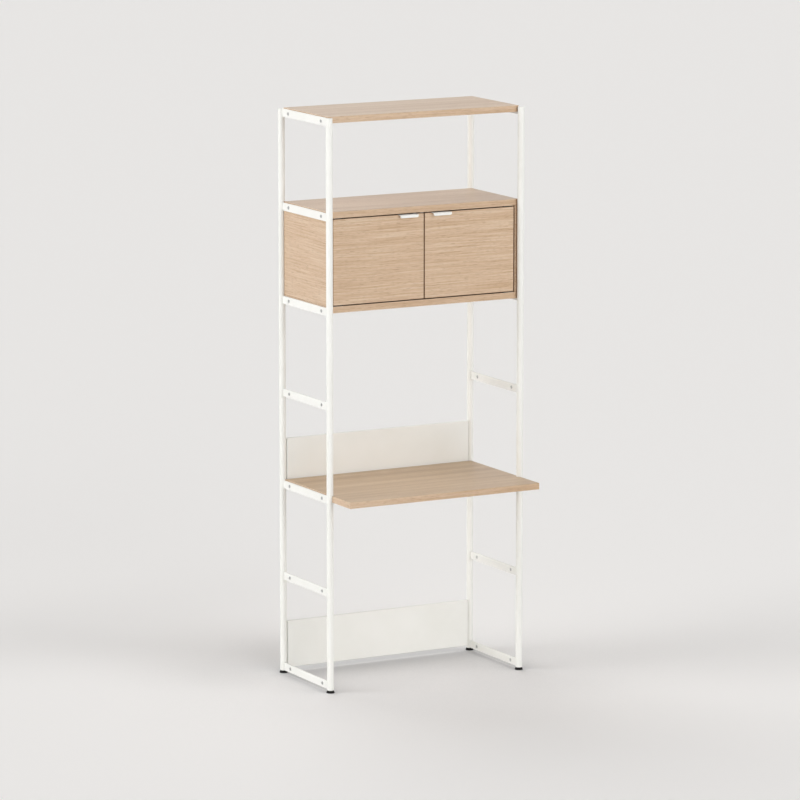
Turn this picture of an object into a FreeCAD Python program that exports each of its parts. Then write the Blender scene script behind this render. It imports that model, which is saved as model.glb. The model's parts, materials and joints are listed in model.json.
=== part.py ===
import FreeCAD, Part
import math
import os

Vector = FreeCAD.Vector

# A shelving unit with a desk: two ladder frames carry a top shelf, a cabinet with two doors and a desk.
# Millimetres, +Z up. The origin is on the floor, at the middle of the unit's footprint.

# Ladder frames: round uprights, with flat-bar rungs welded between them
upright_diameter = 25.0
upright_wall = 1.5
frame_depth = 380.0
rung_count = 7
rungs_below_desk_count = 2
rung_pitch = 350.0
bottom_rung_height = 25.0
rung_height = 30.0
rung_thickness = 5.0
rung_edge_chamfer = 0.8
rung_hole_diameter = 7.0
rung_hole_inset = 60.0
weld_gap = 0.1

# Caps in the uprights' upper ends
cap_length = 12.0

# Moulded levelling feet, whose stem screws into an insert in the upright
foot_diameter = 30.0
foot_top_diameter = 24.0
foot_height = 10.0
foot_skirt_height = 3.0
stem_diameter = 8.0
stem_length = 24.0
insert_length = 30.0

# Boards, which sit between the ladder frames
board_length = 800.0
board_thickness = 24.0
board_edge_chamfer = 0.8
board_drop = 5.0
board_upright_gap = 0.5
desk_overhang = 153.0
desk_notch_gap = 1.0

# Drop-on connectors in the boards, and the hex bolts that they hook over
connector_length = 20.0
connector_width = 18.0
connector_height = 12.7
slot_gap = 0.2
bolt_neck_length = 6.0
bolt_head_width = 10.0
bolt_head_thickness = 3.6
bolt_end_recess = 0.6

# Cabinet carcass between two of the boards
side_thickness = 16.0
back_thickness = 8.0
back_inset = 10.0
groove_depth = 6.0
groove_gap = 0.2
tongue_thickness = 6.0
tongue_depth = 10.0
tongue_margin = 10.0
tongue_end_gap = 0.2

# Doors, set in flush with the front edges of the boards
door_thickness = 18.0
door_gap = 4.0
door_edge_chamfer = 0.8
swing_clearance = 1.0

# Door pivots: a plate with a pin on the door's edge, which turns on a bored block let into the board
pivot_diameter = 6.0
pivot_length = 9.0
pivot_plate_length = 36.0
pivot_plate_width = 12.0
pivot_plate_wall = 4.0
pivot_plate_thickness = 2.0
pivot_block_depth = 11.0

# Bent sheet pulls on the doors' top edges
pull_width = 76.0
pull_edge_offset = 30.0
pull_reach = 16.0
pull_drop = 11.0
pull_sheet = 2.0
pull_seat_depth = 14.0
pull_bend_radius = 3.0
pull_corner_radius = 6.0
pull_seat_gap = 0.2

# Double magnetic catch under the cabinet's top board, and its strikes on the doors
catch_width = 56.0
catch_depth = 14.0
catch_height = 13.0
catch_ear_length = 12.0
catch_ear_thickness = 2.5
magnet_width = 16.0
magnet_height = 7.0
magnet_depth = 9.0
strike_width = 18.0
strike_height = 12.0
strike_thickness = 2.0
strike_top_inset = 1.0
strike_edge_inset = 5.0

# Sheet-steel back panels: trays whose side flanges hook into slots in the rear uprights
panel_height = 180.0
panel_drop = 5.0
panel_sheet = 1.5
panel_flange = 20.0
panel_return = 12.0
panel_bend_radius = 3.0
panel_upright_gap = 0.4
hook_place_shares = (-0.33, 0.33)
hook_height = 12.0
hook_drop = 6.0
hook_nose = 2.5
hook_gap = 0.3

# Gap round pressed and screwed fits, and how far a cut runs past a face
fit_gap = 0.1
overrun = 1.0

# Levels: which rung carries what, counted from the floor
top_level = rung_count - 1
cabinet_top_level = rung_count - 2
cabinet_floor_level = rung_count - 3
desk_level = rungs_below_desk_count
lower_panel_level = 0

# Places across the unit
upright_radius = upright_diameter / 2
bore_radius = upright_radius - upright_wall
board_end = board_length / 2
upright_x = board_end + rung_thickness / 2
carcass_x = board_end - side_thickness
hinge_edge = carcass_x - door_gap
meeting_edge = door_gap / 2

# Places from front to back
overall_depth = desk_overhang + frame_depth + foot_diameter / 2
desk_front_y = -overall_depth / 2
front_axis_y = desk_front_y + desk_overhang
rear_axis_y = front_axis_y + frame_depth
shelf_front_y = front_axis_y + upright_radius + board_upright_gap
shelf_rear_y = rear_axis_y - upright_radius - board_upright_gap
hole_rows = (front_axis_y + rung_hole_inset, rear_axis_y - rung_hole_inset)
back_rear_y = shelf_rear_y - back_inset
back_front_y = back_rear_y - back_thickness
door_rear_y = shelf_front_y + door_thickness
panel_front_y = rear_axis_y - panel_flange / 2

sides = {"left": -1, "right": 1}
axis_rows = {"front": front_axis_y, "rear": rear_axis_y}


def rung_z(level):
    """Height of a rung's middle, where its holes are."""
    return bottom_rung_height + level * rung_pitch


def board_z(level):
    """Height of the underside of the board on a rung."""
    return rung_z(level) - board_drop


# Heights
frame_top = rung_z(top_level) + rung_height / 2
floor_z = board_z(cabinet_floor_level) + board_thickness
ceiling_z = board_z(cabinet_top_level)
door_bottom = floor_z + door_gap
door_top = ceiling_z - door_gap

# The pivot axis is as near the hinge edge as lets the door's corners pass the carcass
swing_room = door_gap - swing_clearance
pivot_inset = ((door_thickness / 2) ** 2 - swing_room ** 2) / (2 * swing_room)
pivot_x = hinge_edge - pivot_inset
pivot_y = shelf_front_y + door_thickness / 2
pull_x = meeting_edge + pull_edge_offset + pull_width / 2
pivot_plate_end = pivot_x + pivot_diameter / 2 + pivot_plate_wall
pivot_block_rise = door_gap - pivot_plate_thickness
panel_half_width = upright_x - upright_radius - panel_upright_gap


def block(x_ends, y_ends, z_ends):
    """Box between two values on each axis, given in either order."""
    low = Vector(min(x_ends), min(y_ends), min(z_ends))
    high = Vector(max(x_ends), max(y_ends), max(z_ends))
    size = high - low
    return Part.makeBox(size.x, size.y, size.z, low)


def rod(start, end, radius):
    """Round bar from one point to another."""
    along = end - start
    return Part.makeCylinder(radius, along.Length, start, along)


def edges_along(shape, direction):
    """Straight edges of a shape that run along a direction."""
    found = []
    for edge in shape.Edges:
        run = edge.Vertexes[-1].Point - edge.Vertexes[0].Point
        if run.Length > 0 and abs(abs(run.dot(direction)) - run.Length) < run.Length * 1e-6:
            found.append(edge)
    return found


def arc(start, middle, end):
    return Part.Arc(start, middle, end).toShape()


def line(start, end):
    return Part.LineSegment(start, end).toShape()


def extrude(edges, direction):
    """Solid swept by a closed flat outline."""
    return Part.Face(Part.Wire(edges)).extrude(direction)


def hex_bar(start, along, corner_radius):
    """Six-sided bar along an axis, with two of its corners level with the axis."""
    across = Vector(0, 1, 0)
    upward = along.cross(across).normalize()
    turns = [index * math.pi / 3 for index in range(7)]
    ring = [start + across * corner_radius * math.cos(turn) + upward * corner_radius * math.sin(turn)
            for turn in turns]
    return Part.Face(Part.makePolygon(ring)).extrude(along)


def upright(side, y):
    """Tube from the foot to the top rung; a rear one has slots in its inner wall for the panels' hooks."""
    low = Vector(side * upright_x, y, foot_height)
    high = Vector(side * upright_x, y, frame_top)
    tube = rod(low, high, upright_radius).cut(rod(low, high, bore_radius))
    half = panel_sheet / 2 + hook_gap
    slot_seats = hook_seats() if y == rear_axis_y else []
    for seat in slot_seats:
        slot_top = seat + hook_height + hook_drop + hook_gap
        tube = tube.cut(block((0, side * upright_x), (y - half, y + half), (seat, slot_top)))
    return tube


def upright_cap(x, y):
    """Plug pressed flush into an upright's upper end."""
    top = Vector(x, y, frame_top)
    return rod(top - Vector(0, 0, cap_length), top, bore_radius - fit_gap)


def rung(x, level):
    """Flat bar with two holes, coped at both ends to seat on the uprights."""
    z = rung_z(level)
    half = rung_thickness / 2
    bar = block((x - half, x + half), (front_axis_y, rear_axis_y), (z - rung_height / 2, z + rung_height / 2))
    bar = bar.makeChamfer(rung_edge_chamfer, edges_along(bar, Vector(0, 1, 0)))
    for y in axis_rows.values():
        low = Vector(x, y, z - rung_height)
        high = Vector(x, y, z + rung_height)
        bar = bar.cut(rod(low, high, upright_radius + weld_gap))
    through = Vector(rung_thickness, 0, 0)
    for y in hole_rows:
        centre = Vector(x, y, z)
        bar = bar.cut(rod(centre - through, centre + through, rung_hole_diameter / 2))
    return bar


def foot(x, y):
    """Turned foot: a short skirt, a cone up to the upright, and a stem that screws into the insert."""
    outer = foot_diameter / 2
    stem = stem_diameter / 2
    stem_top = foot_height + stem_length
    profile = [(0, 0), (outer, 0), (outer, foot_skirt_height), (foot_top_diameter / 2, foot_height),
               (stem, foot_height), (stem, stem_top), (0, stem_top), (0, 0)]
    outline = Part.makePolygon([Vector(x + radius, y, height) for radius, height in profile])
    return Part.Face(outline).revolve(Vector(x, y, 0), Vector(0, 0, 1), 360)


def foot_insert(x, y):
    """Six-sided threaded plug, flush with the upright's lower end."""
    low = Vector(x, y, foot_height)
    length = Vector(0, 0, insert_length)
    thread = rod(low, low + length, stem_diameter / 2 + fit_gap)
    return hex_bar(low, length, bore_radius - fit_gap).cut(thread)


def connector_block(side, y, level, gap):
    """Outside of a connector, at a board's end and underside; with a gap, the pocket that it needs."""
    low = board_z(level)
    half = connector_width / 2 + gap
    sunk = overrun if gap else 0
    return block((side * (board_end - connector_length - gap), side * (board_end + sunk)),
                 (y - half, y + half), (low - sunk, low + connector_height + gap))


def connector(side, y, level):
    """Block with a slot below for the bolt's neck, and a wider pocket for its head."""
    low = board_z(level) - overrun
    axis_z = rung_z(level)
    neck = rung_hole_diameter / 2 - fit_gap + slot_gap
    head = bolt_head_width / math.sqrt(3) + slot_gap
    head_near = board_end - bolt_neck_length + slot_gap
    head_far = board_end - bolt_neck_length - bolt_head_thickness - slot_gap
    slot = block((side * (board_end + overrun), side * head_far), (y - neck, y + neck), (low, axis_z + neck))
    pocket = block((side * head_near, side * head_far), (y - head, y + head), (low, axis_z + head))
    return connector_block(side, y, level, 0).cut(slot).cut(pocket)


def shelf_bolt(side, y, level):
    """Hex bolt screwed into a rung from inside, its end just below the rung's outer face."""
    z = rung_z(level)
    outer = Vector(side * (board_end + rung_thickness - bolt_end_recess), y, z)
    neck_end = Vector(side * (board_end - bolt_neck_length), y, z)
    shank = rod(outer, neck_end, rung_hole_diameter / 2 - fit_gap)
    head = hex_bar(neck_end, Vector(-side * bolt_head_thickness, 0, 0), bolt_head_width / math.sqrt(3))
    return shank.fuse(head)


def board(level, front_y):
    """Board with eased edges and a pocket below for each of its four connectors."""
    low = board_z(level)
    plain = block((-board_end, board_end), (front_y, shelf_rear_y), (low, low + board_thickness))
    plain = plain.makeChamfer(board_edge_chamfer, plain.Edges)
    for side in sides.values():
        for y in hole_rows:
            plain = plain.cut(connector_block(side, y, level, fit_gap))
    return plain


def desk_top():
    """The deeper board, notched so that it passes both front uprights."""
    desk = board(desk_level, desk_front_y)
    low = board_z(desk_level)
    for side in sides.values():
        start = Vector(side * upright_x, front_axis_y, low - overrun)
        end = Vector(side * upright_x, front_axis_y, low + board_thickness + overrun)
        desk = desk.cut(rod(start, end, upright_radius + desk_notch_gap))
    return desk


def tongue(side, joint_z, gap):
    """Loose tongue across a joint of side and board, between the connectors; with a gap, its groove."""
    middle = side * (board_end - side_thickness / 2)
    half = tongue_thickness / 2 + gap
    reach = tongue_depth + gap
    end = connector_width / 2 + tongue_margin - gap
    return block((middle - half, middle + half), (hole_rows[0] + end, hole_rows[1] - end),
                 (joint_z - reach, joint_z + reach))


def back_groove():
    """Space that the cabinet's back takes in the sides and in both boards."""
    x = carcass_x + groove_depth
    return block((-x, x), (back_front_y - groove_gap, back_rear_y + groove_gap),
                 (floor_z - groove_depth, ceiling_z + groove_depth))


def cabinet_back():
    x = carcass_x + groove_depth - groove_gap
    return block((-x, x), (back_front_y, back_rear_y),
                 (floor_z - groove_depth + groove_gap, ceiling_z + groove_depth - groove_gap))


def cabinet_side(side):
    """Side panel between the boards, grooved for the back and for its tongues."""
    panel = block((side * board_end, side * carcass_x), (shelf_front_y, shelf_rear_y), (floor_z, ceiling_z))
    panel = panel.makeChamfer(board_edge_chamfer, edges_along(panel, Vector(0, 0, 1)))
    panel = panel.cut(back_groove())
    for joint_z in (floor_z, ceiling_z):
        panel = panel.cut(tongue(side, joint_z, tongue_end_gap))
    return panel


def cabinet_board(level, joint_z, into):
    """Board of the cabinet, grooved for the back and the tongues, with pockets for the pivot blocks."""
    plain = board(level, shelf_front_y).cut(back_groove())
    for side in sides.values():
        plain = plain.cut(tongue(side, joint_z, tongue_end_gap))
        plain = plain.cut(pivot_block_space(side, joint_z, into, fit_gap))
    return plain


def pivot_footprint(side, gap):
    """Ends of a pivot plate across the unit and from front to back."""
    half = pivot_plate_width / 2 + gap
    near = side * (pivot_plate_end + gap)
    far = side * (pivot_plate_end - pivot_plate_length - gap)
    return (near, far), (pivot_y - half, pivot_y + half)


def pivot_block_space(side, joint_z, into, gap):
    """Outside of a pivot block, let into a board and standing proud of it; into is +1 upwards."""
    x_ends, y_ends = pivot_footprint(side, gap)
    proud_z = joint_z - into * pivot_block_rise
    sunk_z = joint_z + into * (pivot_block_depth + gap)
    return block(x_ends, y_ends, (proud_z, sunk_z))


def pivot_block(side, joint_z, into):
    """Bored block in which the pin of a door turns."""
    axis_low = Vector(side * pivot_x, pivot_y, joint_z - into * pivot_block_rise)
    axis_high = Vector(side * pivot_x, pivot_y, joint_z + into * pivot_block_depth)
    bore = rod(axis_low, axis_high, pivot_diameter / 2 + fit_gap)
    return pivot_block_space(side, joint_z, into, 0).cut(bore)


def door_pivot(side, joint_z, into):
    """Plate on a door's edge with a pin; the plate runs on the block's face."""
    x_ends, y_ends = pivot_footprint(side, 0)
    run_z = joint_z - into * pivot_block_rise
    pin_root = Vector(side * pivot_x, pivot_y, run_z)
    pin_end = Vector(side * pivot_x, pivot_y, joint_z + into * pivot_length)
    plate = block(x_ends, y_ends, (run_z, run_z - into * pivot_plate_thickness))
    return plate.fuse(rod(pin_root, pin_end, pivot_diameter / 2))


def strike_span(side):
    """The two ends of a strike across the unit."""
    near = meeting_edge + strike_edge_inset
    return (side * near, side * (near + strike_width))


def door_panel(side):
    """Door with eased edges and a rebate in its top edge for the pull."""
    panel = block((side * hinge_edge, side * meeting_edge), (shelf_front_y, door_rear_y),
                  (door_bottom, door_top))
    panel = panel.makeChamfer(door_edge_chamfer, panel.Edges)
    half = pull_width / 2 + pull_seat_gap
    rebate = block((side * pull_x - half, side * pull_x + half),
                   (shelf_front_y - overrun, shelf_front_y + pull_seat_depth + pull_seat_gap),
                   (door_top - pull_sheet, door_top + overrun))
    return panel.cut(rebate)


def door_pull(side):
    """Sheet bent over the door's top edge and down into a lip with rounded lower corners."""
    x = side * pull_x - pull_width / 2
    front = shelf_front_y - pull_reach
    rear = shelf_front_y + pull_seat_depth
    lip_end = door_top - pull_drop
    inner = pull_bend_radius - pull_sheet
    bend_y = front + pull_bend_radius
    bend_z = door_top - pull_bend_radius

    def at(y, z):
        return Vector(x, y, z)

    def on_bend(radius):
        slant = radius * math.sqrt(0.5)
        return at(bend_y - slant, bend_z + slant)

    outline = [line(at(rear, door_top), at(bend_y, door_top)),
               arc(at(bend_y, door_top), on_bend(pull_bend_radius), at(front, bend_z)),
               line(at(front, bend_z), at(front, lip_end)),
               line(at(front, lip_end), at(front + pull_sheet, lip_end)),
               line(at(front + pull_sheet, lip_end), at(front + pull_sheet, bend_z)),
               arc(at(front + pull_sheet, bend_z), on_bend(inner), at(bend_y, door_top - pull_sheet)),
               line(at(bend_y, door_top - pull_sheet), at(rear, door_top - pull_sheet)),
               line(at(rear, door_top - pull_sheet), at(rear, door_top))]
    pull = extrude(outline, Vector(pull_width, 0, 0))
    corners = [edge for edge in edges_along(pull, Vector(0, 1, 0)) if edge.BoundBox.ZMax < bend_z]
    return pull.makeFillet(pull_corner_radius, corners)


def strike(side):
    top = door_top - strike_top_inset
    return block(strike_span(side), (door_rear_y, door_rear_y + strike_thickness), (top - strike_height, top))


def magnet(side, gap):
    """Magnet in the catch, behind the strike of one door."""
    centre = sum(strike_span(side)) / 2
    half = magnet_width / 2 + gap
    face = door_rear_y + strike_thickness
    middle = ceiling_z - catch_height + magnet_height
    half_height = magnet_height / 2 + gap
    return block((centre - half, centre + half), (face, face + magnet_depth + gap),
                 (middle - half_height, middle + half_height))


def catch_body():
    """Catch housing with an ear at each end, and a pocket for each magnet."""
    face = door_rear_y + strike_thickness
    y_ends = (face, face + catch_depth)
    half = catch_width / 2
    tip = half + catch_ear_length
    housing = block((-half, half), y_ends, (ceiling_z - catch_height, ceiling_z))
    housing = housing.fuse(block((-tip, tip), y_ends, (ceiling_z - catch_ear_thickness, ceiling_z)))
    for side in sides.values():
        housing = housing.cut(magnet(side, fit_gap))
    return housing


def hook_seats():
    """Heights at which the hooks of both back panels rest in the uprights."""
    middles = [rung_z(level) - panel_drop + panel_height / 2 for level in (lower_panel_level, desk_level)]
    return [middle + share * panel_height for middle in middles for share in hook_place_shares]


def panel_hook(side, seat):
    """Tab of a side flange that passes through the upright's wall and drops behind it."""
    half = panel_sheet / 2
    y_ends = (rear_axis_y - half, rear_axis_y + half)
    behind_wall = upright_x - bore_radius + hook_gap
    tip = behind_wall + hook_nose
    neck = block((side * (panel_half_width - panel_sheet), side * tip), y_ends, (seat, seat + hook_height))
    return neck.fuse(block((side * behind_wall, side * tip), y_ends, (seat - hook_drop, seat + hook_height)))


def channel(half_span, flange, place, sweep):
    """Sheet folded back along two edges; place turns (across, depth) into a point."""
    radius = panel_bend_radius
    inner = radius - panel_sheet
    edges = []
    for sign in (-1, 1):
        tip = half_span * sign
        inside = (half_span - panel_sheet) * sign
        centre = (half_span - radius) * sign
        outer_mid = place(centre + sign * radius * math.sqrt(0.5), radius - radius * math.sqrt(0.5))
        inner_mid = place(centre + sign * inner * math.sqrt(0.5), radius - inner * math.sqrt(0.5))
        edges += [line(place(tip, flange), place(tip, radius)),
                  arc(place(tip, radius), outer_mid, place(centre, 0)),
                  arc(place(centre, panel_sheet), inner_mid, place(inside, radius)),
                  line(place(inside, radius), place(inside, flange)),
                  line(place(inside, flange), place(tip, flange))]
    near = half_span - radius
    edges += [line(place(-near, 0), place(near, 0)),
              line(place(-near, panel_sheet), place(near, panel_sheet))]
    return Part.Face(Part.Wire(Part.sortEdges(edges)[0])).extrude(sweep)


def back_panel(level):
    """Tray of folded sheet: side flanges with hooks, and stiffening returns above and below."""
    low = rung_z(level) - panel_drop
    high = low + panel_height
    relief = panel_bend_radius
    wide = channel(panel_half_width, panel_flange,
                   lambda across, depth: Vector(across, panel_front_y + depth, low + relief),
                   Vector(0, 0, panel_height - 2 * relief))
    tall = channel(panel_height / 2, panel_return,
                   lambda across, depth: Vector(relief - panel_half_width, panel_front_y + depth,
                                                (low + high) / 2 + across),
                   Vector(2 * (panel_half_width - relief), 0, 0))
    tray = wide.fuse(tall)
    for side in sides.values():
        for seat in hook_seats():
            if low < seat < high:
                tray = tray.fuse(panel_hook(side, seat))
    return tray.removeSplitter()


pieces = {}

# Ladder frames and feet
for side_name, side in sides.items():
    for row_name, y in axis_rows.items():
        pieces[f"{side_name}_{row_name}_upright"] = [upright(side, y)]
        pieces[f"{side_name}_{row_name}_foot"] = [foot(side * upright_x, y)]
    for level in range(rung_count):
        pieces[f"{side_name}_rung_{level + 1}"] = [rung(side * upright_x, level)]
corners = [(side * upright_x, y) for side in sides.values() for y in axis_rows.values()]
pieces["upright_caps"] = [upright_cap(x, y) for x, y in corners]
pieces["foot_inserts"] = [foot_insert(x, y) for x, y in corners]

# Boards and what holds them
pieces["top_shelf"] = [board(top_level, shelf_front_y)]
pieces["cabinet_top"] = [cabinet_board(cabinet_top_level, ceiling_z, 1)]
pieces["cabinet_floor"] = [cabinet_board(cabinet_floor_level, floor_z, -1)]
pieces["desk_top"] = [desk_top()]
board_levels = (desk_level, cabinet_floor_level, cabinet_top_level, top_level)
board_places = [(side, y, level) for level in board_levels for side in sides.values() for y in hole_rows]
pieces["board_connectors"] = [connector(*place) for place in board_places]
pieces["shelf_bolts"] = [shelf_bolt(*place) for place in board_places]

# Cabinet and its doors
joints = ((floor_z, -1), (ceiling_z, 1))
pieces["cabinet_back"] = [cabinet_back()]
pieces["cabinet_tongues"] = [tongue(side, joint_z, 0) for side in sides.values() for joint_z, into in joints]
pieces["pivot_blocks"] = [pivot_block(side, *joint) for side in sides.values() for joint in joints]
pieces["catch_body"] = [catch_body()]
pieces["catch_magnets"] = [magnet(side, 0) for side in sides.values()]
for side_name, side in sides.items():
    pieces[f"cabinet_{side_name}_side"] = [cabinet_side(side)]
    pieces[f"{side_name}_door_panel"] = [door_panel(side)]
    pieces[f"{side_name}_door_pull"] = [door_pull(side)]
    pieces[f"{side_name}_door_pivots"] = [door_pivot(side, *joint) for joint in joints]
    pieces[f"{side_name}_door_strike"] = [strike(side)]

# Back panels
pieces["upper_back_panel"] = [back_panel(desk_level)]
pieces["lower_back_panel"] = [back_panel(lower_panel_level)]

os.makedirs("parts", exist_ok=True)
for name, shapes in pieces.items():
    solids = [solid for shape in shapes for solid in shape.Solids]
    node = solids[0] if len(solids) == 1 else Part.makeCompound(solids)
    node.exportStep(f"parts/{name}.step")
    print(name, len(solids), "solids,", round(node.Volume), "cubic mm, valid:", node.isValid())
print(len(pieces), "nodes")
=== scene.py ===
# %% [markdown]
# # A shelving unit with a desk
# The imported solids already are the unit: two ladder frames of white steel, oak boards, a cabinet with
# two doors and folded sheet panels. This lesson dresses them. It gives each solid the finish that its
# real material has, adds the small things that a maker would not draw as solids (weld beads, screw
# heads, bushings, bolt ends and threads), and sets up a plain studio.

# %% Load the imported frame
import json
import math

import bpy
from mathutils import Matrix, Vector


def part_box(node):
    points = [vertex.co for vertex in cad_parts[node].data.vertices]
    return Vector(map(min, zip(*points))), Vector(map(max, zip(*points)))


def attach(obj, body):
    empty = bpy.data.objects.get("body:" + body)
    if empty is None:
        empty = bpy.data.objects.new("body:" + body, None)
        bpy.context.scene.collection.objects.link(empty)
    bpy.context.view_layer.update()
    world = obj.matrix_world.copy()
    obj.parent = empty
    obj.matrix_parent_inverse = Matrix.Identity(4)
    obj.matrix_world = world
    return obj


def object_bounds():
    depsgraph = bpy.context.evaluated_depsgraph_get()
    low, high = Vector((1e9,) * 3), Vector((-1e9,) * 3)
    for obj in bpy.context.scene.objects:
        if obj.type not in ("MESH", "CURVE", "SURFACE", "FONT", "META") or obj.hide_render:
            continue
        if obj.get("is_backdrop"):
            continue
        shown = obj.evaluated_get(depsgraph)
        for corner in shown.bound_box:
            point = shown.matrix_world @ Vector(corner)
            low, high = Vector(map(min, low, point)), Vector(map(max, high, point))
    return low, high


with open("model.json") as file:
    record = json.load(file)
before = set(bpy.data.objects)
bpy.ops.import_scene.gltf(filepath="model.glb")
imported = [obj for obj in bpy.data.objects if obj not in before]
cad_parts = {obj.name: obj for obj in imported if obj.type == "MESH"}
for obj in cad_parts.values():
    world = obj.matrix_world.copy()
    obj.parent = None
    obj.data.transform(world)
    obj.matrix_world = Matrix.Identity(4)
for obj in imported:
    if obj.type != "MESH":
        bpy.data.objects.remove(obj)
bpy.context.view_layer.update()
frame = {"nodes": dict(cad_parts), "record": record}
nodes = frame["nodes"]
record = frame["record"]
MM = 0.001

# %% [markdown]
# ## Helpers for every finish
# A finish is a small tree of nodes, so one function adds any node, sets it and links it. Colours are
# written as sRGB hex values, the way a paint chart gives them, and are turned to linear light here.
# A node's sockets go by their name or, where several share a name, by their number. A Mix node has
# one pair of inputs for each type (2 and 3 numbers, 4 and 5 vectors, 6 and 7 colours), the outputs 0,
# 1 and 2 in the same order, and at input 0 the share of the second of the pair.


# %% Helpers for colours and nodes
def linear(hex_colour):
    """An sRGB hex value as linear RGBA."""
    channels = [int(hex_colour[start:start + 2], 16) / 255 for start in (0, 2, 4)]
    light = [c / 12.92 if c <= 0.04045 else ((c + 0.055) / 1.055) ** 2.4 for c in channels]
    return (*light, 1.0)


def add(tree, kind, settings=None, inputs=None):
    """Adds a node. A setting named stops fills a colour ramp; an input is a value or a socket to link."""
    made = tree.nodes.new(kind)
    for name, value in (settings or {}).items():
        if name == "stops":
            ramp = made.color_ramp.elements
            while len(ramp) < len(value):
                ramp.new(1.0)
            for element, (position, colour) in zip(ramp, value):
                element.position = position
                element.color = linear(colour)
        else:
            setattr(made, name, value)
    for name, value in (inputs or {}).items():
        if isinstance(value, bpy.types.NodeSocket):
            tree.links.new(value, made.inputs[name])
        else:
            made.inputs[name].default_value = value
    return made


def new_finish(name, **constants):
    """A material with one Principled shader, whose constants are set on the shader's own sockets."""
    material = bpy.data.materials.new(name)
    material.use_nodes = True
    tree = material.node_tree
    shader = tree.nodes["Principled BSDF"]
    for socket, value in constants.items():
        shader.inputs[socket.replace("_", " ")].default_value = value
    place = add(tree, "ShaderNodeTexCoord").outputs["Object"]
    return material, tree, shader, place


def wire_shader(tree, shader, colour, roughness, normal):
    """Links what a finish worked out to its shader."""
    for socket, source in (("Base Color", colour), ("Roughness", roughness), ("Normal", normal)):
        tree.links.new(source, shader.inputs[socket])


print("helpers ready")

# %% [markdown]
# ## White powder coat
# The frames, the panels and the pulls are steel under a baked polyester powder. The powder melts into
# a film with a faint orange peel about 2 mm across, which breaks up every reflection a little. The peel
# is far too shallow to model, so one noise drives both the bump and the roughness. A second, wide one
# clouds the white a little, as passes of the spray gun do.

# %% Powder-coated steel
peel_size = 2.2 * MM
peel_height = 0.03 * MM
peel_strength = 0.5
cloud_size = 160 * MM
coat_tones = [(0.3, "EBEBE6"), (0.7, "EFEFEB")]
coat_roughness = (0.40, 0.50)

powder_coat, tree, shader, place = new_finish("white powder-coated steel", Specular_IOR_Level=0.45)
peel = add(tree, "ShaderNodeTexNoise", inputs={"Vector": place, "Scale": 1 / peel_size, "Detail": 2.0})
cloud = add(tree, "ShaderNodeTexNoise", inputs={"Vector": place, "Scale": 1 / cloud_size, "Detail": 3.0})
tone = add(tree, "ShaderNodeValToRGB", {"stops": coat_tones}, {"Fac": cloud.outputs["Fac"]})
gloss = add(tree, "ShaderNodeMapRange", inputs={"Value": peel.outputs["Fac"], "To Min": coat_roughness[0],
                                                "To Max": coat_roughness[1]})
bump = add(tree, "ShaderNodeBump", inputs={"Height": peel.outputs["Fac"], "Strength": peel_strength,
                                           "Distance": peel_height})
wire_shader(tree, shader, tone.outputs["Color"], gloss.outputs["Result"], bump.outputs["Normal"])
print("finish:", powder_coat.name)

# %% [markdown]
# ## Oak veneer under matt lacquer
# The boards are rift-cut oak veneer, so the growth rings show as straight lines that wander a little.
# Three noises stretched along the grain make it: wide bands of early and late wood, streaks, and the
# short open pores that oak is known for. A picture of veneer could be laid on instead, but noises sized
# in millimetres never repeat and stay sharp close up. Pores are about 0.3 mm wide, too fine to show
# from where the camera stands, so they are drawn nearly four times as wide.

# %% Sizes and tones of the oak
board_end = max(abs(corner.x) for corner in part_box("top_shelf"))
end_face_margin = 0.4 * MM
wander_length, wander_width = 420 * MM, 9 * MM
band_length, band_detail = 1500 * MM, 3.0
streak_length, streak_width, streak_detail = 210 * MM, 5.2 * MM, 2.0
pore_length, pore_width, pore_detail = 24 * MM, 1.1 * MM, 0.0
pore_depth, pore_strength = 0.12 * MM, 0.6
pore_edges = (0.60, 0.70)
pore_share = 0.34
tone_stops = (0.34, 0.5, 0.66)
light_oak = ("BE9F7F", "CDB195", "D7C0A6")
dark_oak = ("AF8D66", "C0A17C", "CCB190")
pore_brown = "8A6746"
# Painted shade: the deep brown laid in the door gaps and on the upright pieces' arrises.
painted_shade_brown = "7A4A20"
lacquer_roughness = (0.27, 0.37)
# The arris tints are painted light: painted shade on the upright pieces, a painted highlight on the level
# boards.
upright_leaf = {"band_width": 26 * MM, "streak_share": 0.68, "arris": painted_shade_brown}
level_leaf = {"band_width": 44 * MM, "streak_share": 0.42, "arris": "E6D3B8"}
print("boards end at", round(board_end / MM), "mm from the middle")


# %% The grain's direction
def along_grain(tree, place, axes, along):
    """Places turned so that their X follows the grain and wanders with it. The grain runs along X, and Y
    on the bands glued to the boards' ends, or along Y throughout."""
    grain = add(tree, "ShaderNodeCombineXYZ",
                inputs={"X": axes["Y"], "Y": axes["X"], "Z": axes["Z"]}).outputs[0]
    if along == "X":
        far = add(tree, "ShaderNodeMath", {"operation": "ABSOLUTE"}, {0: axes["X"]}).outputs[0]
        end_face = add(tree, "ShaderNodeMath", {"operation": "GREATER_THAN"},
                       {0: far, 1: board_end - end_face_margin}).outputs[0]
        grain = add(tree, "ShaderNodeMix", {"data_type": "VECTOR"},
                    {0: end_face, 4: place, 5: grain}).outputs[1]
    drift = add(tree, "ShaderNodeTexNoise",
                inputs={"Vector": grain, "Scale": 1 / wander_length, "Detail": 1.0})
    sway = add(tree, "ShaderNodeVectorMath", {"operation": "MULTIPLY"},
               {0: drift.outputs["Color"], 1: (0, wander_width, wander_width)})
    return add(tree, "ShaderNodeVectorMath", {"operation": "ADD"},
               {0: grain, 1: sway.outputs[0]}).outputs[0]


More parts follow.
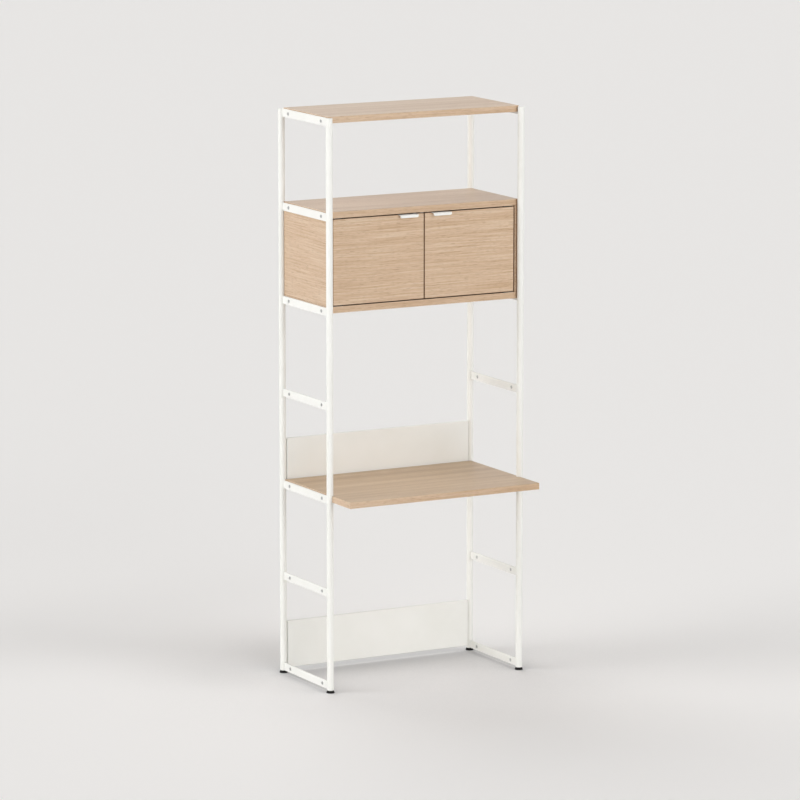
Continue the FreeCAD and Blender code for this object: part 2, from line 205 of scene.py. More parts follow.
def drawn_out(tree, grain, length, width, detail):
    """A noise whose spots are as long and as wide as asked, along the grain and across it."""
    scaled = add(tree, "ShaderNodeVectorMath", {"operation": "MULTIPLY"},
                 {0: grain, 1: (1 / length, 1 / width, 1 / width)})
    return add(tree, "ShaderNodeTexNoise",
               inputs={"Vector": scaled.outputs[0], "Scale": 1.0, "Detail": detail}).outputs["Fac"]


print("grain wanders", round(wander_width / MM), "mm in", round(wander_length / MM), "mm")

# %% [markdown]
# ## Painted light on the oak's edges and gaps
# The level boards' arrises get a painted highlight, pale as an edge that catches the light. The upright
# pieces' arrises and the gaps round the doors get painted shade in deep brown. Ambient Occlusion finds
# both places, so none has to be listed: looking into the wood it finds the arrises, and looking out of
# it the gaps.

# %% Painted light on arrises and painted shade in gaps
look_samples = 4
arris_reach, gap_reach = 2.5 * MM, 9 * MM
arris_edges, gap_edges = (0.9, 0.5), (0.7, 0.3)
arris_share, gap_share = 0.6, 1.0


def with_painted_edge_light(tree, colour, painted_arris_tint):
    """The colour with the arris tint painted on the arrises as painted light, then painted shade in the
    gaps.
    """
    inward = add(tree, "ShaderNodeAmbientOcclusion",
                 {"samples": look_samples, "inside": True, "only_local": True},
                 {"Distance": arris_reach}).outputs["AO"]
    outward = add(tree, "ShaderNodeAmbientOcclusion", {"samples": look_samples},
                  {"Distance": gap_reach}).outputs["AO"]
    for open_view, edges, share, tint in ((inward, arris_edges, arris_share, painted_arris_tint),
                                          (outward, gap_edges, gap_share, painted_shade_brown)):
        found = add(tree, "ShaderNodeMapRange", inputs={"Value": open_view, "From Min": edges[0],
                                                        "From Max": edges[1], "To Max": share})
        colour = add(tree, "ShaderNodeMix", {"data_type": "RGBA"},
                     {0: found.outputs["Result"], 6: colour, 7: linear(tint)}).outputs[2]
    return colour


print("arrises reach", arris_reach / MM, "mm and gaps", gap_reach / MM, "mm")


# %% Four oak finishes
def oak_veneer(name, along, leaf, dark_above=None):
    """Oak with its grain along X or Y, drawn darker above the height dark_above."""
    material, tree, shader, place = new_finish(name, Specular_IOR_Level=0.5)
    axes = add(tree, "ShaderNodeSeparateXYZ", inputs={"Vector": place}).outputs
    grain = along_grain(tree, place, axes, along)
    bands = drawn_out(tree, grain, band_length, leaf["band_width"], band_detail)
    streaks = drawn_out(tree, grain, streak_length, streak_width, streak_detail)
    pores = drawn_out(tree, grain, pore_length, pore_width, pore_detail)
    mixed = add(tree, "ShaderNodeMix", inputs={0: leaf["streak_share"], 2: bands, 3: streaks}).outputs[0]
    colour = add(tree, "ShaderNodeValToRGB", {"stops": list(zip(tone_stops, light_oak))},
                 {"Fac": mixed}).outputs["Color"]
    if dark_above is not None:
        dark = add(tree, "ShaderNodeValToRGB", {"stops": list(zip(tone_stops, dark_oak))},
                   {"Fac": mixed}).outputs["Color"]
        above = add(tree, "ShaderNodeMath", {"operation": "GREATER_THAN"},
                    {0: axes["Z"], 1: dark_above}).outputs[0]
        colour = add(tree, "ShaderNodeMix", {"data_type": "RGBA"}, {0: above, 6: colour, 7: dark}).outputs[2]
    open_pore = add(tree, "ShaderNodeMapRange",
                    inputs={"Value": pores, "From Min": pore_edges[0], "From Max": pore_edges[1],
                            "To Max": pore_share}).outputs["Result"]
    colour = add(tree, "ShaderNodeMix", {"data_type": "RGBA"},
                 {0: open_pore, 6: colour, 7: linear(pore_brown)}).outputs[2]
    # Painted light on the arrises, and painted shade in the gaps.
    colour = with_painted_edge_light(tree, colour, leaf["arris"])
    gloss = add(tree, "ShaderNodeMapRange", inputs={"Value": streaks, "To Min": lacquer_roughness[0],
                                                    "To Max": lacquer_roughness[1]})
    bump = add(tree, "ShaderNodeBump", {"invert": True}, {"Height": open_pore, "Strength": pore_strength,
                                                          "Distance": pore_depth})
    wire_shader(tree, shader, colour, gloss.outputs["Result"], bump.outputs["Normal"])
    return material


desk_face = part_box("desk_top")[1].z
oak_doors = oak_veneer("oak veneer, grain along the doors", "X", upright_leaf)
oak_boards = oak_veneer("oak veneer, grain along the boards", "X", level_leaf)
oak_sides = oak_veneer("oak veneer, grain front to back", "Y", upright_leaf)
oak_desk = oak_veneer("oak veneer, darker on the desk's top", "X", level_leaf, desk_face - end_face_margin)
print("finishes:", oak_doors.name, "/", oak_boards.name, "/", oak_sides.name, "/", oak_desk.name)

# %% [markdown]
# ## The small parts' finishes
# Feet, caps, the catch and the pivot blocks are moulded plastic with a fine spark-eroded grain, which
# is about 0.2 mm in reality and is drawn some four times as coarse so that it shows. Bolts, bushings
# and strikes are zinc-plated steel, whose plating shows as soft clouds in the gloss, and the pivots are
# blackened so that they don't show in the doors' gaps. The catch's magnets are pressed ferrite, dark
# and dull, and the cabinet's tongues planed beech with small flecks. All of them are one recipe, a base
# colour with an even grain, so one function makes them.

# %% Moulded plastics, plated steel, ferrite and beech
# Each recipe: the name, two tones, the range of roughness, metallic, and the size of the grain.
small_finishes = {
    "black_nylon": ("moulded black nylon", ("060606", "0C0C0C"), (0.7, 0.85), 0.0, 0.7 * MM),
    "white_plastic": ("moulded white ABS", ("E6E5DF", "ECEBE6"), (0.4, 0.5), 0.0, 0.9 * MM),
    "grey_nylon": ("moulded grey nylon", ("5E5E5C", "6A6A68"), (0.45, 0.58), 0.0, 0.9 * MM),
    "zinc_steel": ("zinc-plated steel", ("BFC0C1", "D6D6D5"), (0.34, 0.5), 1.0, 2.5 * MM),
    "blackened_steel": ("black-oxide steel", ("1C1814", "27221D"), (0.42, 0.56), 1.0, 1.8 * MM),
    "ferrite": ("pressed ferrite", ("242426", "313133"), (0.55, 0.7), 0.0, 0.6 * MM),
    "beech": ("planed beech", ("C09468", "D3AC83"), (0.5, 0.62), 0.0, 1.5 * MM),
}
grain_depth = 0.02 * MM
grain_strength = 0.4
grain_stops = (0.35, 0.65)


def small_finish(name, tones, roughness, metallic, grain_size):
    """A finish with an even grain: two tones, a range of roughness and a shallow bump from one noise."""
    material, tree, shader, place = new_finish(name, Metallic=metallic)
    grain = add(tree, "ShaderNodeTexNoise",
                inputs={"Vector": place, "Scale": 1 / grain_size, "Detail": 3.0}).outputs["Fac"]
    tone = add(tree, "ShaderNodeValToRGB", {"stops": list(zip(grain_stops, tones))}, {"Fac": grain})
    gloss = add(tree, "ShaderNodeMapRange", inputs={"Value": grain, "To Min": roughness[0],
                                                    "To Max": roughness[1]})
    bump = add(tree, "ShaderNodeBump", inputs={"Height": grain, "Strength": grain_strength,
                                               "Distance": grain_depth})
    wire_shader(tree, shader, tone.outputs["Color"], gloss.outputs["Result"], bump.outputs["Normal"])
    return material


finishes = {slot: small_finish(*recipe) for slot, recipe in small_finishes.items()}
finishes["white_powder_coat"] = powder_coat
finishes["oak_veneer"] = oak_boards
print("finishes by slot:", sorted(finishes))

# %% [markdown]
# ## Dressing the solids
# The record says which material slot each solid belongs to, so the solids keep their shape and only
# take the finish. Some oak solids have a leaf of their own: the doors and the cabinet's back, where the
# streaks are stronger, the cabinet's sides, whose veneer runs from front to back, and the desk, whose
# top face is drawn darker.

# %% Give each solid its finish
other_oak = {"cabinet_left_side": oak_sides, "cabinet_right_side": oak_sides, "desk_top": oak_desk,
             "left_door_panel": oak_doors, "right_door_panel": oak_doors, "cabinet_back": oak_doors}
for part in record["subparts"]:
    solid = nodes[part["node"]]
    material = other_oak.get(part["node"], finishes[part["material_slot"]])
    for material_slot in solid.material_slots:
        material_slot.material = material
print("dressed", len(record["subparts"]), "solids")

# %% [markdown]
# ## Small things that repeat, by Geometry Nodes
# Welds, screw heads, bushings, bolt ends and threads repeat at known places. Each kind is one tree that
# builds the shape once from named sizes and puts a copy on every point of a small point mesh. The
# points carry the direction that the copy faces. The result is made a plain mesh, one for each body.


# %% Helpers that build a tree
crisp_angle = math.radians(35)


def size_tree(name, sizes):
    """A tree with a geometry input and one named input for each size, and its group input's sockets."""
    made = bpy.data.node_groups.new(name, "GeometryNodeTree")
    made.interface.new_socket("Geometry", in_out="INPUT", socket_type="NodeSocketGeometry")
    made.interface.new_socket("Geometry", in_out="OUTPUT", socket_type="NodeSocketGeometry")
    for size, value in sizes.items():
        kind = "NodeSocketInt" if isinstance(value, int) else "NodeSocketFloat"
        made.interface.new_socket(size, in_out="INPUT", socket_type=kind)
    return made, add(made, "NodeGroupInput").outputs


def carve(tree, shape, cutters):
    """The shape with each of the cutters taken out of it in turn."""
    for cutter in cutters:
        cut = add(tree, "GeometryNodeMeshBoolean", {"operation": "DIFFERENCE"},
                  {"Mesh 1": shape, "Mesh 2": cutter})
        shape = cut.outputs["Mesh"]
    return shape


def end_tree(tree, points, shape, material):
    """Smooths the shape but for its crisp edges, puts it on every point, turned to face that point's
    direction, and closes the tree."""
    fold = add(tree, "GeometryNodeInputMeshEdgeAngle").outputs["Unsigned Angle"]
    crisp = add(tree, "FunctionNodeCompare", {"operation": "GREATER_THAN"}, {"A": fold, "B": crisp_angle})
    smooth = add(tree, "GeometryNodeSetShadeSmooth", {"domain": "FACE"}, {"Geometry": shape})
    edged = add(tree, "GeometryNodeSetShadeSmooth", {"domain": "EDGE"},
                {"Geometry": smooth.outputs["Geometry"], "Selection": crisp.outputs["Result"],
                 "Shade Smooth": False})
    facing = add(tree, "GeometryNodeInputNamedAttribute", {"data_type": "FLOAT_VECTOR"}, {"Name": "facing"})
    turn = add(tree, "FunctionNodeAlignRotationToVector", {"axis": "Z"},
               {"Vector": facing.outputs["Attribute"]})
    copies = add(tree, "GeometryNodeInstanceOnPoints",
                 inputs={"Points": points, "Instance": edged.outputs["Geometry"],
                         "Rotation": turn.outputs["Rotation"]})
    real = add(tree, "GeometryNodeRealizeInstances", inputs={"Geometry": copies.outputs["Instances"]})
    painted = add(tree, "GeometryNodeSetMaterial", inputs={"Geometry": real.outputs["Geometry"],
                                                           "Material": material})
    add(tree, "NodeGroupOutput", inputs={"Geometry": painted.outputs["Geometry"]})


print("edges over", round(math.degrees(crisp_angle)), "degrees stay crisp")


# %% Helper that grows a shape on points
def grow(name, tree, sizes, places, body):
    """Runs a tree on (point, facing) places and keeps the result as a plain mesh that rides on a body."""
    seeds = bpy.data.meshes.new(name + "_points")
    seeds.from_pydata([point for point, facing in places], [], [])
    directions = seeds.attributes.new("facing", "FLOAT_VECTOR", "POINT")
    for index, (point, facing) in enumerate(places):
        directions.data[index].vector = facing
    holder = bpy.data.objects.new(name, seeds)
    bpy.context.scene.collection.objects.link(holder)
    modifier = holder.modifiers.new(name, "NODES")
    modifier.node_group = tree
    for item in tree.interface.items_tree:
        if item.in_out == "INPUT" and item.name in sizes:
            modifier[item.identifier] = sizes[item.name]
    grown = bpy.data.meshes.new_from_object(holder.evaluated_get(bpy.context.evaluated_depsgraph_get()))
    holder.modifiers.clear()
    holder.data = grown
    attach(holder, body)
    print(name, "on", body, "has", len(grown.polygons), "faces from", len(places), "points")


print("ready to grow shapes on points")

# %% [markdown]
# ## Weld beads
# Each rung is coped to the uprights and welded from outside, before coating, so a rippled bead runs up
# both of its ends. A line gets a radius that rises and falls along it, and a circle swept along that
# line is the bead. A bump could draw the ripples, but the bead's outline would stay straight.

# %% Weld bead
rungs = sorted(name for name in nodes if "_rung_" in name)
rung_low, rung_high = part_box(rungs[0])
bead_sizes = {"Length": rung_high.z - rung_low.z, "Radius": 1.5 * MM, "Ripples": 13, "Rings": 53, "Sides": 8}
seam_end_shares = (-0.5, 0.5)
ripple_share = 0.14
full_turn = 2 * math.pi

bead_tree, sizes = size_tree("weld bead", bead_sizes)
ends = []
for share in seam_end_shares:
    height = add(bead_tree, "ShaderNodeMath", {"operation": "MULTIPLY"},
                 {0: sizes["Length"], 1: share}).outputs[0]
    ends.append(add(bead_tree, "ShaderNodeCombineXYZ", inputs={"Z": height}).outputs[0])
seam = add(bead_tree, "GeometryNodeCurvePrimitiveLine", inputs={"Start": ends[0], "End": ends[1]})
seam = add(bead_tree, "GeometryNodeResampleCurve",
           inputs={"Curve": seam.outputs["Curve"], "Count": sizes["Rings"]})
along = add(bead_tree, "GeometryNodeSplineParameter").outputs["Factor"]
turns = add(bead_tree, "ShaderNodeMath", {"operation": "MULTIPLY"},
            {0: sizes["Ripples"], 1: full_turn}).outputs[0]
phase = add(bead_tree, "ShaderNodeMath", {"operation": "MULTIPLY"}, {0: along, 1: turns}).outputs[0]
wave = add(bead_tree, "ShaderNodeMath", {"operation": "SINE"}, {0: phase}).outputs[0]
swell = add(bead_tree, "ShaderNodeMath", {"operation": "MULTIPLY_ADD"},
            {0: wave, 1: ripple_share, 2: 1.0}).outputs[0]
thick = add(bead_tree, "ShaderNodeMath", {"operation": "MULTIPLY"},
            {0: swell, 1: sizes["Radius"]}).outputs[0]
ring = add(bead_tree, "GeometryNodeCurvePrimitiveCircle",
           inputs={"Resolution": sizes["Sides"], "Radius": 1.0})
bead = add(bead_tree, "GeometryNodeCurveToMesh",
           inputs={"Curve": seam.outputs["Curve"], "Profile Curve": ring.outputs["Curve"],
                   "Scale": thick, "Fill Caps": True})
end_tree(bead_tree, sizes["Geometry"], bead.outputs["Mesh"], powder_coat)
print("bead tree has", len(bead_tree.nodes), "nodes")

# %% Weld beads at the rungs' ends
places = []
for name in rungs:
    low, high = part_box(name)
    outer_x = low.x if low.x < 0 else high.x
    for y in (low.y, high.y):
        places.append(((outer_x, y, (low.z + high.z) / 2), (0, 0, 1)))
grow("weld_beads", bead_tree, bead_sizes, places, "frame")

# %% [markdown]
# ## Screw heads
# Raised countersunk screws hold the pulls, the strikes and the catch. A flat cone is the head, and two
# crossed bars are cut out of it for the driver, so that the cross stays sharp in a close view.

# %% Screw head
screw_sizes = {"Radius": 2.6 * MM, "Rise": 0.7 * MM, "Slot Width": 0.7 * MM, "Slot Depth": 0.45 * MM}
head_sides = 28
crown_share, slot_share = 0.55, 1.25
# The bars are centred on the head's top, so they are twice as deep as the slots that they leave.
bar_depth_share = 2.0

screw_tree, sizes = size_tree("screw head", screw_sizes)
crown = add(screw_tree, "ShaderNodeMath", {"operation": "MULTIPLY"},
            {0: sizes["Radius"], 1: crown_share}).outputs[0]
head = add(screw_tree, "GeometryNodeMeshCone",
           inputs={"Vertices": head_sides, "Radius Top": crown, "Radius Bottom": sizes["Radius"],
                   "Depth": sizes["Rise"]})
slot_length = add(screw_tree, "ShaderNodeMath", {"operation": "MULTIPLY"},
                  {0: crown, 1: slot_share}).outputs[0]
deep = add(screw_tree, "ShaderNodeMath", {"operation": "MULTIPLY"},
           {0: sizes["Slot Depth"], 1: bar_depth_share}).outputs[0]
lift = add(screw_tree, "ShaderNodeCombineXYZ", inputs={"Z": sizes["Rise"]})
bars = []
for across, along in ((slot_length, sizes["Slot Width"]), (sizes["Slot Width"], slot_length)):
    size = add(screw_tree, "ShaderNodeCombineXYZ", inputs={"X": across, "Y": along, "Z": deep})
    bar = add(screw_tree, "GeometryNodeMeshCube", inputs={"Size": size.outputs[0]})
    bar = add(screw_tree, "GeometryNodeTransform", inputs={"Geometry": bar.outputs["Mesh"],
                                                           "Translation": lift.outputs[0]})
    bars.append(bar.outputs["Geometry"])
head = carve(screw_tree, head.outputs["Mesh"], bars)
end_tree(screw_tree, sizes["Geometry"], head, finishes["zinc_steel"])
print("screw tree has", len(screw_tree.nodes), "nodes")

# %% Screw heads of the pulls, the catch and the strikes
pull_screw_share = 0.28
seat_share = 0.25
for side in ("left", "right"):
    low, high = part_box(f"{side}_door_pull")
    middle, width = (low.x + high.x) / 2, high.x - low.x
    seat_y = high.y - seat_share * (high.y - low.y)
    places = [((middle + sign * pull_screw_share * width, seat_y, high.z), (0, 0, 1)) for sign in (-1, 1)]
    grow(f"{side}_pull_screws", screw_tree, screw_sizes, places, f"{side}_door")

ear_share = 0.42
ear_thickness = 2.5 * MM
low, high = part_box("catch_body")
places = [((sign * ear_share * (high.x - low.x), (low.y + high.y) / 2, high.z - ear_thickness), (0, 0, -1))
          for sign in (-1, 1)]
grow("catch_screws", screw_tree, screw_sizes, places, "frame")

strike_screw = {**screw_sizes, "Radius": 1.7 * MM, "Slot Width": 0.5 * MM}
strike_edge_share = 1.25
for side in ("left", "right"):
    low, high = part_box(f"{side}_door_strike")
    point = ((low.x + high.x) / 2, high.y, low.z + strike_edge_share * strike_screw["Radius"])
    places = [(point, (0, 1, 0))]
    grow(f"{side}_strike_screw", screw_tree, strike_screw, places, f"{side}_door")

# %% [markdown]
# ## Threaded bushings
# A flat bar is too thin to be tapped, so each hole in a rung has a bushing of zinc-plated steel pressed
# into it. Its collar is the grey disc that shows on the rung's outer face. On a rung without a board the
# other end of the bushing shows too, nearly flush with the inner face. A flat cone with a bore and a
# countersunk mouth cut out of it is one collar, and both kinds come from one tree with other sizes.

# %% Collar of a bushing
outer_collar = {"Radius": 6.5 * MM, "Bore": 3.4 * MM, "Rise": 1.4 * MM, "Bevel": 0.6 * MM}
inner_collar = {**outer_collar, "Rise": 0.3 * MM, "Bevel": 0.2 * MM}
collar_sides = 40
drill_share = 4.0
sink_share = 2.0
sunk_share = 0.9

collar_tree, sizes = size_tree("bushing collar", outer_collar)
rim = add(collar_tree, "ShaderNodeMath", {"operation": "SUBTRACT"},
          {0: sizes["Radius"], 1: sizes["Bevel"]}).outputs[0]
disc = add(collar_tree, "GeometryNodeMeshCone",
           inputs={"Vertices": collar_sides, "Radius Top": rim, "Radius Bottom": sizes["Radius"],
                   "Depth": sizes["Rise"]})
drill_length = add(collar_tree, "ShaderNodeMath", {"operation": "MULTIPLY"},
                   {0: sizes["Rise"], 1: drill_share}).outputs[0]
drill = add(collar_tree, "GeometryNodeMeshCylinder",
            inputs={"Vertices": collar_sides, "Radius": sizes["Bore"], "Depth": drill_length})
wide = add(collar_tree, "ShaderNodeMath", {"operation": "ADD"},
           {0: sizes["Bore"], 1: sizes["Bevel"]}).outputs[0]
narrow = add(collar_tree, "ShaderNodeMath", {"operation": "SUBTRACT"},
             {0: sizes["Bore"], 1: sizes["Bevel"]}).outputs[0]
deep = add(collar_tree, "ShaderNodeMath", {"operation": "MULTIPLY"},
           {0: sizes["Bevel"], 1: sink_share}).outputs[0]
sink = add(collar_tree, "GeometryNodeMeshCone",
           inputs={"Vertices": collar_sides, "Radius Top": wide, "Radius Bottom": narrow, "Depth": deep})
mouth = add(collar_tree, "ShaderNodeMath", {"operation": "MULTIPLY_ADD"},
            {0: deep, 1: -sunk_share, 2: sizes["Rise"]}).outputs[0]
lift = add(collar_tree, "ShaderNodeCombineXYZ", inputs={"Z": mouth})
sink = add(collar_tree, "GeometryNodeTransform",
           inputs={"Geometry": sink.outputs["Mesh"], "Translation": lift.outputs[0]})
collar = carve(collar_tree, disc.outputs["Mesh"], (drill.outputs["Mesh"], sink.outputs["Geometry"]))
end_tree(collar_tree, sizes["Geometry"], collar, finishes["zinc_steel"])
print("collar tree has", len(collar_tree.nodes), "nodes")

# %% Holes of the rungs, with and without a bolt
patterns = [mount for mount in record["mounts"] if mount["kind"] == "bolt_pattern"]
free_rungs = {mount["name"].removesuffix("_holes") for mount in patterns}
half_spacing = patterns[0]["dims"]["spacing_x_mm"] * MM / 2
hole_rows = [patterns[0]["pos_m"][1] + sign * half_spacing for sign in (-1, 1)]
holes = {"free": [], "bolted": []}
for name in rungs:
    low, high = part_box(name)
    side = -1 if low.x < 0 else 1
    inner, outer = sorted((abs(low.x), abs(high.x)))
    for y in hole_rows:
        hole = {"side": side, "y": y, "z": (low.z + high.z) / 2}
        hole.update(inner=side * inner, outer=side * outer)
        holes["free" if name in free_rungs else "bolted"].append(hole)
print({kind: len(found) for kind, found in holes.items()}, "holes")

# %% Collars on the rungs' outer and inner faces
places = [((hole["outer"], hole["y"], hole["z"]), (hole["side"], 0, 0))
          for kind in holes for hole in holes[kind]]
grow("bushing_collars", collar_tree, outer_collar, places, "frame")
places = [((hole["inner"], hole["y"], hole["z"]), (-hole["side"], 0, 0)) for hole in holes["free"]]
grow("bushing_ends", collar_tree, inner_collar, places, "frame")

# %% [markdown]
# ## Bolt ends
# A rung that carries a board shows the end of a bolt in each bushing, just below the rung's face. A real
# bolt ends in a short lead-in cone with a hollow where it was cut, so each end gets that small cone.

# %% Bolt ends in the bushings
bolt_end_x = max(abs(corner.x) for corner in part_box("shelf_bolts"))
tip_sizes = {"Radius": 3.3 * MM, "Rise": 0.4 * MM, "Hollow": 1.3 * MM}
tip_sides, pit_sides = 28, 20
lead_share = 0.82
pit_lift_share = 0.5

tip_tree, sizes = size_tree("bolt end", tip_sizes)
lead = add(tip_tree, "ShaderNodeMath", {"operation": "MULTIPLY"},
           {0: sizes["Radius"], 1: lead_share}).outputs[0]
tip = add(tip_tree, "GeometryNodeMeshCone",
          inputs={"Vertices": tip_sides, "Radius Top": lead, "Radius Bottom": sizes["Radius"],
                  "Depth": sizes["Rise"]})
pit = add(tip_tree, "GeometryNodeMeshCone",
          inputs={"Vertices": pit_sides, "Radius Top": sizes["Hollow"], "Radius Bottom": 0.0,
                  "Depth": sizes["Rise"]})
pit_height = add(tip_tree, "ShaderNodeMath", {"operation": "MULTIPLY"},
                 {0: sizes["Rise"], 1: pit_lift_share}).outputs[0]
lift = add(tip_tree, "ShaderNodeCombineXYZ", inputs={"Z": pit_height})
pit = add(tip_tree, "GeometryNodeTransform",
          inputs={"Geometry": pit.outputs["Mesh"], "Translation": lift.outputs[0]})
tip = carve(tip_tree, tip.outputs["Mesh"], [pit.outputs["Geometry"]])
end_tree(tip_tree, sizes["Geometry"], tip, finishes["zinc_steel"])

places = [((hole["side"] * bolt_end_x, hole["y"], hole["z"]), (hole["side"], 0, 0))
          for hole in holes["bolted"]]
grow("bolt_ends", tip_tree, tip_sizes, places, "frame")

# %% [markdown]
# ## Threads
# A foot screws in and out on a coarse moulded thread, which shows once the foot is turned out, and the
# bushings of the rungs without a board show their thread in the open bore. Both are a spiral with a small
# three-sided profile swept along it, on the plain stem or in the plain bore.

# %% Thread
thread_steps, crest_sides = 24, 3


def thread_tree(name, thread_sizes, material):
    """A crest that winds up from its point and is one pitch shorter than the stem or the bore."""
    tree, sizes = size_tree(name, thread_sizes)
    length = add(tree, "ShaderNodeMath", {"operation": "SUBTRACT"},
                 {0: sizes["Height"], 1: sizes["Pitch"]}).outputs[0]
    rotations = add(tree, "ShaderNodeMath", {"operation": "DIVIDE"},
                    {0: length, 1: sizes["Pitch"]}).outputs[0]
    helix = add(tree, "GeometryNodeCurveSpiral",
                inputs={"Resolution": thread_steps, "Rotations": rotations, "Start Radius": sizes["Radius"],
                        "End Radius": sizes["Radius"], "Height": length})
    crest = add(tree, "GeometryNodeCurvePrimitiveCircle",
                inputs={"Resolution": crest_sides, "Radius": sizes["Crest"]})
    thread = add(tree, "GeometryNodeCurveToMesh",
                 inputs={"Curve": helix.outputs["Curve"], "Profile Curve": crest.outputs["Curve"],
                         "Fill Caps": True})
    end_tree(tree, sizes["Geometry"], thread.outputs["Mesh"], material)
    return tree


print("a thread has", thread_steps, "steps in a turn")

# %% Threads on the feet's stems and in the open bushings
feet = sorted(name for name in nodes if name.endswith("_foot"))
stem_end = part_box(feet[0])[1].z
tube_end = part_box(feet[0].replace("_foot", "_upright"))[0].z
stem_thread = {"Radius": 4.0 * MM, "Pitch": 1.5 * MM, "Height": stem_end - tube_end, "Crest": 0.45 * MM}
bore_thread = {"Radius": 3.5 * MM, "Pitch": 1.0 * MM, "Height": rung_high.x - rung_low.x, "Crest": 0.55 * MM}

stem_tree = thread_tree("stem thread", stem_thread, finishes["black_nylon"])
for name in feet:
    low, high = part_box(name)
    root = ((low.x + high.x) / 2, (low.y + high.y) / 2, tube_end + stem_thread["Pitch"] / 2)
    grow(f"{name}_thread", stem_tree, stem_thread, [(root, (0, 0, 1))], name)

bore_tree = thread_tree("bore thread", bore_thread, finishes["zinc_steel"])
places = []
for hole in holes["free"]:
    start_x = hole["inner"] + hole["side"] * bore_thread["Pitch"] / 2
    places.append(((start_x, hole["y"], hole["z"]), (hole["side"], 0, 0)))
grow("bushing_threads", bore_tree, bore_thread, places, "frame")

# %% [markdown]
# ## Studio floor and background
# The photograph has an even pale grey all round, soft shadows to the left and the right, and no visible
# horizon. The world shows the floor's own grey to the camera, so the two run into each other, and gives
# everything else a weaker white light. On the floor, Ambient Occlusion darkens what lies near the unit,
# once widely and once close to the feet, and a faint glow lifts the floor to the background's grey.
# Shade and glow are only for rays that are seen, so the light that the floor throws back up stays even.


# %% Rays that are seen
def seen_rays(tree):
    """1 for rays from the camera and those that mirror or pass on what it sees, and 0 for other light."""
    rays = add(tree, "ShaderNodeLightPath").outputs
    seen = rays["Is Camera Ray"]
    for kind in ("Is Glossy Ray", "Is Transmission Ray"):
        seen = add(tree, "ShaderNodeMath", {"operation": "MAXIMUM"}, {0: seen, 1: rays[kind]}).outputs[0]
    return seen


print("ready to tell seen rays from other light")

# %% Floor
floor_colour = "E7E5E3"
floor_span = 60.0
floor_glow = 0.085
shade_reach, contact_reach = 1.0, 0.15
shade_tones = [(0.35, "C9CACC"), (1.0, "F4F2F0")]
contact_tones = [(0.35, "DFDFE0"), (0.95, "FFFFFF")]
shade_samples = 8

bpy.ops.mesh.primitive_plane_add(size=floor_span)
floor = bpy.context.object
floor.name = "floor"
floor_paint, tree, shader, _ = new_finish("pale studio floor", Roughness=0.9, Specular_IOR_Level=0.0,
                                          Emission_Color=linear(floor_colour))
seen = seen_rays(tree)
unseen = add(tree, "ShaderNodeMath", {"operation": "SUBTRACT"}, {0: 1.0, 1: seen}).outputs[0]
shades = []
for reach, tones in ((shade_reach, shade_tones), (contact_reach, contact_tones)):
    near = add(tree, "ShaderNodeAmbientOcclusion", {"samples": shade_samples}, {"Distance": reach})
    open_share = add(tree, "ShaderNodeMath", {"operation": "MAXIMUM"},
                     {0: near.outputs["AO"], 1: unseen}).outputs[0]
    shades.append(add(tree, "ShaderNodeValToRGB", {"stops": tones}, {"Fac": open_share}).outputs["Color"])
both = add(tree, "ShaderNodeMix", {"data_type": "RGBA", "blend_type": "MULTIPLY"},
           {0: 1.0, 6: shades[0], 7: shades[1]})
tree.links.new(both.outputs[2], shader.inputs["Base Color"])
glow = add(tree, "ShaderNodeMath", {"operation": "MULTIPLY"}, {0: seen, 1: floor_glow})
tree.links.new(glow.outputs[0], shader.inputs["Emission Strength"])
floor.data.materials.append(floor_paint)
floor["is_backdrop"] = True
print("floor", floor_span, "m wide")

# %% World
ambient = 0.145

world = bpy.data.worlds.new("studio")
bpy.context.scene.world = world
world.use_nodes = True
tree = world.node_tree
tree.nodes.clear()
light = add(tree, "ShaderNodeBackground", inputs={"Color": (1, 1, 1, 1), "Strength": ambient})
grey = add(tree, "ShaderNodeBackground", inputs={"Color": linear(floor_colour), "Strength": 1.0})
both = add(tree, "ShaderNodeMixShader", inputs={0: seen_rays(tree), 1: light.outputs[0], 2: grey.outputs[0]})
add(tree, "ShaderNodeOutputWorld", inputs={"Surface": both.outputs[0]})
bpy.context.scene.view_settings.view_transform = "Standard"
print("world light", ambient)

# %% [markdown]
# ## Lamps
# A ring of wide suns lights the unit. A sun reaches the floor evenly at any distance, where a lamp with
# a place would leave a bright patch, and the wider it is, the softer its shadows are. The two low suns
# stand in for the light from a white room's walls. They are kept out of mirrored rays, because the
# lacquer on the boards would show them as a burnt-out sheet from the right and from behind.

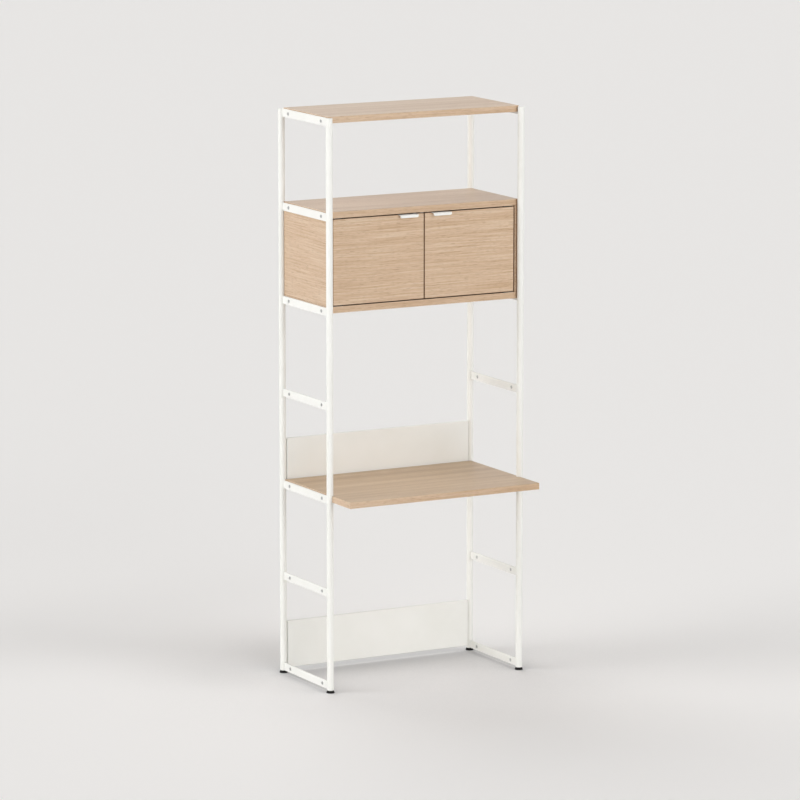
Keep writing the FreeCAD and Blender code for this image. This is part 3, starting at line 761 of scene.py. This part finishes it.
# %% Lamps
sun_specs = {
    "key, front right": {"azimuth": 38, "elevation": 48, "strength": 0.54, "spread": 24, "mirrored": True},
    "fill, left": {"azimuth": -98, "elevation": 42, "strength": 0.46, "spread": 36, "mirrored": True},
    "low front": {"azimuth": 4, "elevation": 7, "strength": 2.10, "spread": 50, "mirrored": False},
    "low left": {"azimuth": -98, "elevation": 7, "strength": 2.45, "spread": 50, "mirrored": False},
    "rear": {"azimuth": 178, "elevation": 40, "strength": 0.98, "spread": 46, "mirrored": True},
}
for name, spec in sun_specs.items():
    lamp = bpy.data.lights.new(name, "SUN")
    lamp.energy = spec["strength"]
    lamp.angle = math.radians(spec["spread"])
    sun = bpy.data.objects.new(name, lamp)
    azimuth, elevation = math.radians(spec["azimuth"]), math.radians(spec["elevation"])
    towards = Vector((math.sin(azimuth) * math.cos(elevation), -math.cos(azimuth) * math.cos(elevation),
                      math.sin(elevation)))
    sun.rotation_mode = "QUATERNION"
    sun.rotation_quaternion = towards.to_track_quat("Z", "Y")
    sun.visible_glossy = spec["mirrored"]
    bpy.context.scene.collection.objects.link(sun)
print("lamps:", list(sun_specs))

# %% [markdown]
# ## Camera
# The photograph was taken from far off with a long lens, from the left and a little above. Its upright
# lines are parallel, as from a lens with shift. This camera is tilted and has no shift, so its place,
# angles and lens were fitted to points of the unit in the photograph with the largest error kept small.
# Places are in metres, angles in degrees, and the lens and the sensor in millimetres.

# %% Camera
camera_place = (-8.597, -15.729, 4.178)
camera_yaw, camera_pitch = 28.538, 9.899
camera_lens, sensor_width = 219.42, 36.0
view_depth = 200.0

lens = bpy.data.cameras.new("camera")
lens.lens = camera_lens
lens.sensor_width = sensor_width
lens.clip_end = view_depth
camera = bpy.data.objects.new("camera", lens)
camera.location = camera_place
camera.rotation_euler = (math.radians(90 - camera_pitch), 0, math.radians(-camera_yaw))
bpy.context.scene.collection.objects.link(camera)
bpy.context.scene.camera = camera
print("camera", [round(value, 2) for value in camera.location], "lens", camera_lens)

# %% Measure the visual box
low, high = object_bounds()
print("visual box in mm:", [round(side / MM) for side in high - low])
